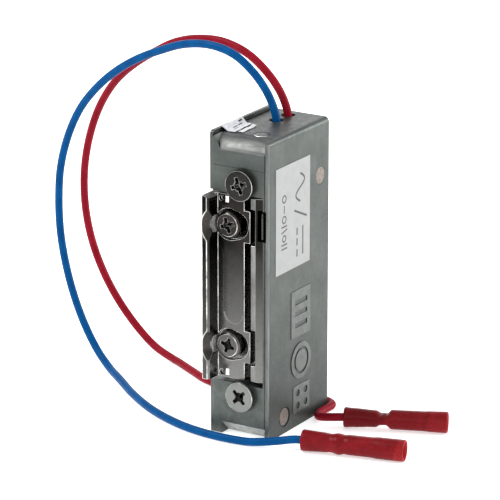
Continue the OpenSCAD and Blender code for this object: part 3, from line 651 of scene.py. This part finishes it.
def from_screw(centre, x, heights):
    """Distance from a face's centre to the axis of the nearer of two screws."""
    return min(math.hypot(centre.x - x, centre.z - z) for z in heights)


def case_screw_look(centre, normal, worn):
    """Worn edges 1, painted shade on the walls and floor of the lower recess 2, a painted highlight on the
    rim towards the right side 3, the edges of the upper recess 4."""
    out = from_screw(centre, CASE_SCREW_X, CASE_SCREW_Z)
    # painted shade in the lower recess
    if out < CASE_RECESS_R and centre.z < MIDDLE_Z and centre.y > FRONT_Y - 1.25:
        return 2
    # painted highlight on the rim where it faces right
    if worn and out > CASE_RIM_R and normal.x > 0.2:
        return 3
    if worn and out < CASE_RECESS_R:
        return 4
    return 1 if worn else 0


def clamp_screw_look(centre, normal, worn):
    """Worn edges 1, painted shade on the walls and floor of the lower recess 2, the edges of the upper
    recess 3.
    """
    out = from_screw(centre, CLAMP_SCREW_X, CLAMP_SCREW_Z)
    # painted shade in the lower recess
    if out < CLAMP_RECESS_R and centre.z < MIDDLE_Z and centre.y > FRONT_Y - 0.8:
        return 2
    if worn and out < CLAMP_RECESS_R:
        return 3
    return 1 if worn and out < CLAMP_RIM_R else 0


def rail_edges(a, b):
    """All but the two edges of the narrow strip beside the rail's front land."""
    return abs((a.x + b.x) / 2 - RAIL_STRIP_X) > 0.06


def rail_look(centre, normal, worn):
    """Worn edges 1, the narrow front land of the keeper's rail 2."""
    if normal.y < -0.98 and 2.9 < centre.x < 4.4 and centre.y < FRONT_Y + 0.3 and not worn:
        return 2
    by_window = centre.x > 4.2 and 49 < centre.z < 58.6
    return 1 if worn and not by_window else 0


def insert_look(centre, normal, worn):
    """Worn edges 1, a painted highlight on the walls round the clamp screws that face right 2, the lip's and
    the plate's top ends and the panel's low end 3, painted shade on the flare of the lip's notches 4 and on
    the lip's front edge 5."""
    # painted shade on the lip's front
    if normal.y < -0.9 and centre.y < LIP_FRONT_Y and not worn:
        return 5
    up = min(abs(centre.z - z) for z in CLAMP_SCREW_Z)
    # painted highlight on the walls that face right
    if up < 3.8 and normal.x > 0.2 and abs(normal.y) < 0.03 and -7.0 < centre.x < -5.0:
        return 2
    by_notch = 3.8 < from_screw(centre, CLAMP_SCREW_X, CLAMP_SCREW_Z) < 5.8
    # painted shade on the notch's flare
    if by_notch and LIP_FRONT_Y < centre.y < NOTCH_FLOOR_Y and not worn:
        return 4
    lip_end = normal.x > 0.2 and normal.z > 0.6 and centre.z > 59
    plate_end = worn and centre.z > 59.4 and centre.y > -13.5
    if lip_end or plate_end:
        return 3
    by_panel = abs(centre.x + 1.8) < 2.75 and 28.2 < centre.z < 47.3
    if worn and by_panel:
        return 3 if centre.z < 31 else 0
    second_ridge = -6.7 < centre.x < -5.9 and centre.y < -12.6
    return 1 if worn and not second_ridge else 0


def pin_look(centre, normal, worn):
    """The front of the chamfered end takes the polish 1, a painted highlight."""
    return 1 if normal.y < -0.12 and 0.2 < normal.z < 0.97 and centre.z > 74 else 0


softened("housing", "root", "zinc_casting", 0.1,
         (WORN_ZINC, STREAKED_ZINC, RIB_PAINTED_LIGHT, CORNER_PAINTED_HIGHLIGHT, FOOT_PAINTED_REFLECTION, SLANT_PAINTED_SHADE, MARK_ZINC),
         casting_look, casting_edges, clamp=False)
softened("left_cover", "root", "zinc_sheet", 0.1, (WORN_ZINC,))
softened("cover_rivets", "root", "copper_rivet", 0.12)
softened("keeper_pivot_pin", "root", "bright_pin", 0.12, (POLISHED,), pin_look)
softened("case_screws", "root", "case_screw", 0.13, (WORN_NICKEL, RECESS_PAINTED_SHADE, RIM_WEAR_AND_HIGHLIGHT, RUBBED_NICKEL),
         case_screw_look, clamp=False)
softened("keeper_base", "keeper", "dark_nickel", 0.15, (RUBBED_NICKEL, LAND_NICKEL), rail_look, rail_edges,
         clamp=False, crease=16.0)
softened("keeper_screws", "keeper", "dark_screw", 0.12, (WORN_NICKEL, RECESS_PAINTED_SHADE, RUBBED_NICKEL),
         clamp_screw_look, clamp=False)
softened("keeper_insert", "insert", "dark_nickel", 0.13,
         (RIM_WEAR_AND_HIGHLIGHT, WALL_PAINTED_HIGHLIGHT, SATIN_END, FLARE_PAINTED_SHADE, LIP_PAINTED_SHADE), insert_look, clamp=False)
softened("locking_lever", "lever", "plated_steel", 0.1)
softened("armature", "armature", "soft_iron", 0.1)


FACET_X = (-3.95, -3.0)
FACET_Z = (15.95, 59.25)
FACET_HALF = 0.8


def pocket_facets():
    """A small polished square lies just right of each round pocket in the latch insert."""
    verts, faces = [], []
    left, right = FACET_X
    for z in FACET_Z:
        base = len(verts)
        for y, inset in ((0.02, 0.0), (-0.03, 0.0), (-0.06, 0.12)):
            for x, side in ((left + inset, -1), (right - inset, -1), (right - inset, 1), (left + inset, 1)):
                verts.append(point(x, y, z + side * FACET_HALF * (1 - inset)))
        faces += [(base, base + 1, base + 2, base + 3), (base + 8, base + 9, base + 10, base + 11)]
        for low in (base, base + 4):
            faces += [(low + k, low + (k + 1) % 4, low + 4 + (k + 1) % 4, low + 4 + k) for k in range(4)]
    piece = mesh_piece("insert_facets", verts, faces, smooth=False)
    piece.data.materials.append(POLISHED)
    finish_piece(piece, "insert", "dark_nickel")


def round_wire_spring():
    """The keeper's torsion spring in round wire, from its front leg through the coil to its back leg."""
    axis = Vector((2.35, 6.25, 50.6))
    coil_r, coil_top, pitch, per_turn, wire_r = 2.45, 6.2, 0.95, 14, 0.36
    route = [(3.45, -5.3, -0.1), (3.45, -5.3, 5.6), (3.3, -5, 6.2), (3, -3.6, 6.3), (2.6, -1.5, 6.25)]
    for i in range(92):
        a = TAU * i / per_turn
        route.append((coil_r * math.cos(a), -coil_r * math.sin(a), coil_top - pitch * i / per_turn))
    route += [(-3, 1.4, 0), (-4.4, 3.2, -0.05)]
    spring = wire("keeper_spring_wire", [tuple(axis + Vector(p)) for p in route], 2, wire_r, sides=4)
    spring.data.materials.append(MATERIALS["spring_steel"])
    finish_piece(spring, "keeper", "spring_steel", "keeper_spring")


pocket_facets()
round_wire_spring()


# ---- paper seal ----

SEAL_T = 0.09
SEAL_RISE = 0.22
CORNERS = ((-7.6, 4.2), (-8.2, 13.9), (-4.0, 12.0), (-3.85, 4.35))
STRIP = ((-3.5, 5.0), (-3.45, 11.7), (-2.3, 11.5), (-2.25, 5.0))


def quad_point(corners, u, v):
    """u runs across the case and v along it."""
    (ax, ay), (bx, by), (cx, cy), (dx, dy) = corners
    return ((ax * (1 - v) + bx * v) * (1 - u) + (dx * (1 - v) + cx * v) * u,
            (ay * (1 - v) + by * v) * (1 - u) + (dy * (1 - v) + cy * v) * u)


def seal_height(x, y, lift):
    """The sheet bridges from the cover's edge to the casting, with soft creases."""
    ground = 75.5 - min(max((x + 7.45) / 1.5, 0.0), 1.0)
    crease = 0.05 * (1 + math.sin(2.1 * y + 0.9 * x)) + 0.03 * (1 + math.sin(4.7 * y - 2.3 * x + 1.0))
    return ground + 0.02 + crease * (0.4 + lift) + SEAL_RISE * lift


def seal_lift(u, v):
    """The patch stands up along its inner side, most of all at the back."""
    return smooth_step(0.6, 1.0, u) * (0.3 + 0.7 * v)


def sheet_shell(verts, faces, corners, across, along, lift_at):
    """Adds a closed sheet SEAL_T thick between the four corners to verts and faces."""
    base = len(verts)
    for layer in (0.0, SEAL_T):
        for i in range(across + 1):
            for j in range(along + 1):
                u, v = i / across, j / along
                x, y = quad_point(corners, u, v)
                x += 0.05 * math.sin(9.0 * v) * (0.0 if 0 < i < across else 1.0)
                verts.append(point(x, y, seal_height(x, y, lift_at(u, v)) + layer))
    row = along + 1
    size = row * (across + 1)
    for i in range(across):
        for j in range(along):
            a = base + i * row + j
            faces.append((a, a + 1, a + row + 1, a + row))
            faces.append(tuple(k + size for k in (a, a + row, a + row + 1, a + 1)))
    rim = list(range(along)) + [i * row + along for i in range(across)]
    rim += [across * row + j for j in range(along, 0, -1)] + [i * row for i in range(across, 0, -1)]
    for k, at in enumerate(rim):
        after = rim[(k + 1) % len(rim)]
        faces.append((base + at, base + after, base + after + size, base + at + size))


def make_seal():
    verts, faces = [], []
    sheet_shell(verts, faces, CORNERS, 12, 20, seal_lift)
    sheet_shell(verts, faces, STRIP, 4, 14, lambda u, v: 0.15 + 0.7 * smooth_step(0.75, 1.0, v))
    seal = mesh_piece("seal_sheet", verts, faces)
    seal.data.materials.append(MATERIALS["seal_foil"])
    seal.data.set_sharp_from_angle(angle=math.radians(40))
    finish_piece(seal, "root", "seal_foil", "seal_label")
    marks, mark_faces = [], []
    for u0, v0, u1, v1 in ((0.22, 0.72, 0.32, 0.9), (0.42, 0.3, 0.47, 0.8), (0.6, 0.2, 0.64, 0.7)):
        base = len(marks)
        for layer in (SEAL_T - 0.01, SEAL_T + 0.012):
            for u, v in ((u0, v0), (u1, v0), (u1, v1), (u0, v1)):
                x, y = quad_point(CORNERS, u, v)
                marks.append(point(x, y, seal_height(x, y, seal_lift(u, v)) + layer + 0.02))
        mark_faces += [tuple(base + k for k in face) for face in
                       ((0, 1, 2, 3), (4, 5, 6, 7), (0, 1, 5, 4), (1, 2, 6, 5), (2, 3, 7, 6), (3, 0, 4, 7))]
    dashes = mesh_piece("seal_dashes", marks, mark_faces, smooth=False)
    dashes.data.materials.append(INK)
    finish_piece(dashes, "root", "seal_foil")


make_seal()


def paint_cad_nodes():
    """Every CAD node that is still shown takes its slot's material."""
    slot_of = {s["node"]: s["material_slot"] for s in frame["record"].get("subparts", [])
               if "material_slot" in s}
    for name, node in nodes.items():
        if not node.hide_render and name in slot_of:
            node.data.materials.clear()
            node.data.materials.append(MATERIALS[slot_of[name]])


paint_cad_nodes()


# ---- side label print ----

LABEL_X = 8.15
INK_SINK, INK_T = 0.004, 0.012
THICK, THIN = 0.5, 0.36


def stroke(bm, path, width, closed=False):
    """A flat printed stroke on the side label: path is (y, z) in mm."""
    count = len(path)
    low, high = [], []
    for i, (y, z) in enumerate(path):
        before = path[(i - 1) % count] if closed or i else path[0]
        after = path[(i + 1) % count] if closed or i < count - 1 else path[-1]
        dy, dz = after[0] - before[0], after[1] - before[1]
        size = math.hypot(dy, dz)
        ny, nz = -dz / size * width / 2, dy / size * width / 2
        low.append((y - ny, z - nz))
        high.append((y + ny, z + nz))
    layers = [[bm.verts.new(point(x, y, z)) for y, z in edge]
              for x in (LABEL_X - INK_SINK, LABEL_X + INK_T) for edge in (low, high)]
    a, b, c, d = layers
    for i in range(count if closed else count - 1):
        j = (i + 1) % count
        for p, q in ((a, b), (b, d), (d, c), (c, a)):
            bm.faces.new((p[i], p[j], q[j], q[i]))
    if not closed:
        for i in (0, count - 1):
            bm.faces.new((a[i], b[i], d[i], c[i]))


def label_print():
    """Generic signs for both kinds of current and a row of small marks."""
    bm = bmesh.new()
    # a wave for alternating current, a slash, and a bar over three dashes for direct current
    wave = [(14.3 + 2.0 * math.sin(TAU * k / 24), 63.9 - 0.29 * k) for k in range(25)]
    stroke(bm, wave, THICK)
    stroke(bm, [(11.6, 55.2), (17.4, 52.6)], THICK)
    stroke(bm, [(15.6, 50.6), (15.6, 43.4)], THICK)
    for z in (50.6, 48.0, 45.2):
        stroke(bm, [(12.9, z), (12.9, z - 1.8)], THICK)
    # a row of small marks below
    for z, r in ((59.2, 0.85), (54.1, 0.85), (49.4, 0.75)):
        ring = [(6.9 + r * math.cos(TAU * k / 20), z + r * math.sin(TAU * k / 20)) for k in range(20)]
        stroke(bm, ring, THIN, closed=True)
    for path in (((6.9, 57.6), (6.9, 55.6)), ((5.6, 52.4), (8.2, 52.4)), ((8.3, 51.6), (5.6, 50.9)),
                 ((5.6, 47.9), (8.3, 47.9)), ((5.6, 46.9), (8.3, 46.9))):
        stroke(bm, path, THIN)
    bmesh.ops.recalc_face_normals(bm, faces=bm.faces)
    mesh = bpy.data.meshes.new("side_label_print")
    bm.to_mesh(mesh)
    bm.free()
    mesh.materials.append(INK)
    finish_piece(add_object("side_label_print", mesh), "root", "white_paper")


label_print()


# ---- stage ----

LIGHTS_AIM = Vector((0.0, 0.0, 0.04))
FLOOR_HALF = 6.0
FLOOR_DROP = 0.00005


def area_light(name, place, size, watts):
    data = bpy.data.lights.new(name, "AREA")
    data.shape = "RECTANGLE"
    data.size, data.size_y = size
    data.energy = watts
    light = add_object(name, data)
    light.location = place
    light.rotation_euler = (Vector(place) - LIGHTS_AIM).to_track_quat("Z", "Y").to_euler()
    light.visible_camera = False


def make_stage():
    half = FLOOR_HALF
    floor = mesh_piece("floor", [(-half, -half, 0), (half, -half, 0), (half, half, 0), (-half, half, 0)],
                       [(0, 1, 2, 3)])
    p = Paint("floor_paper", Roughness=0.9, Emission_Color=(1.0, 1.0, 1.0, 1.0), Emission_Strength=0.5)
    floor.data.materials.append(p.done(p.ramp(p.noise(0.002), (0.3, 0.92), (0.7, 0.94))))
    floor.location.z = -FLOOR_DROP
    world = bpy.data.worlds.new("studio")
    world.use_nodes = True
    back = world.node_tree.nodes["Background"]
    back.inputs["Color"].default_value = (0.97, 0.985, 1.0, 1.0)
    back.inputs["Strength"].default_value = 0.9
    bpy.context.scene.world = world
    area_light("over_left", (-0.6, -0.38, 0.95), (0.45, 0.45), 9.0)
    area_light("right_back", (0.75, 0.75, 0.35), (0.7, 0.5), 9.5)
    area_light("left_back", (-0.6, 1.0, 0.4), (0.9, 0.5), 1.6)
    area_light("front", (0.35, -0.95, 0.5), (0.6, 0.6), 1.5)
    bpy.context.scene.view_settings.view_transform = "Standard"


make_stage()
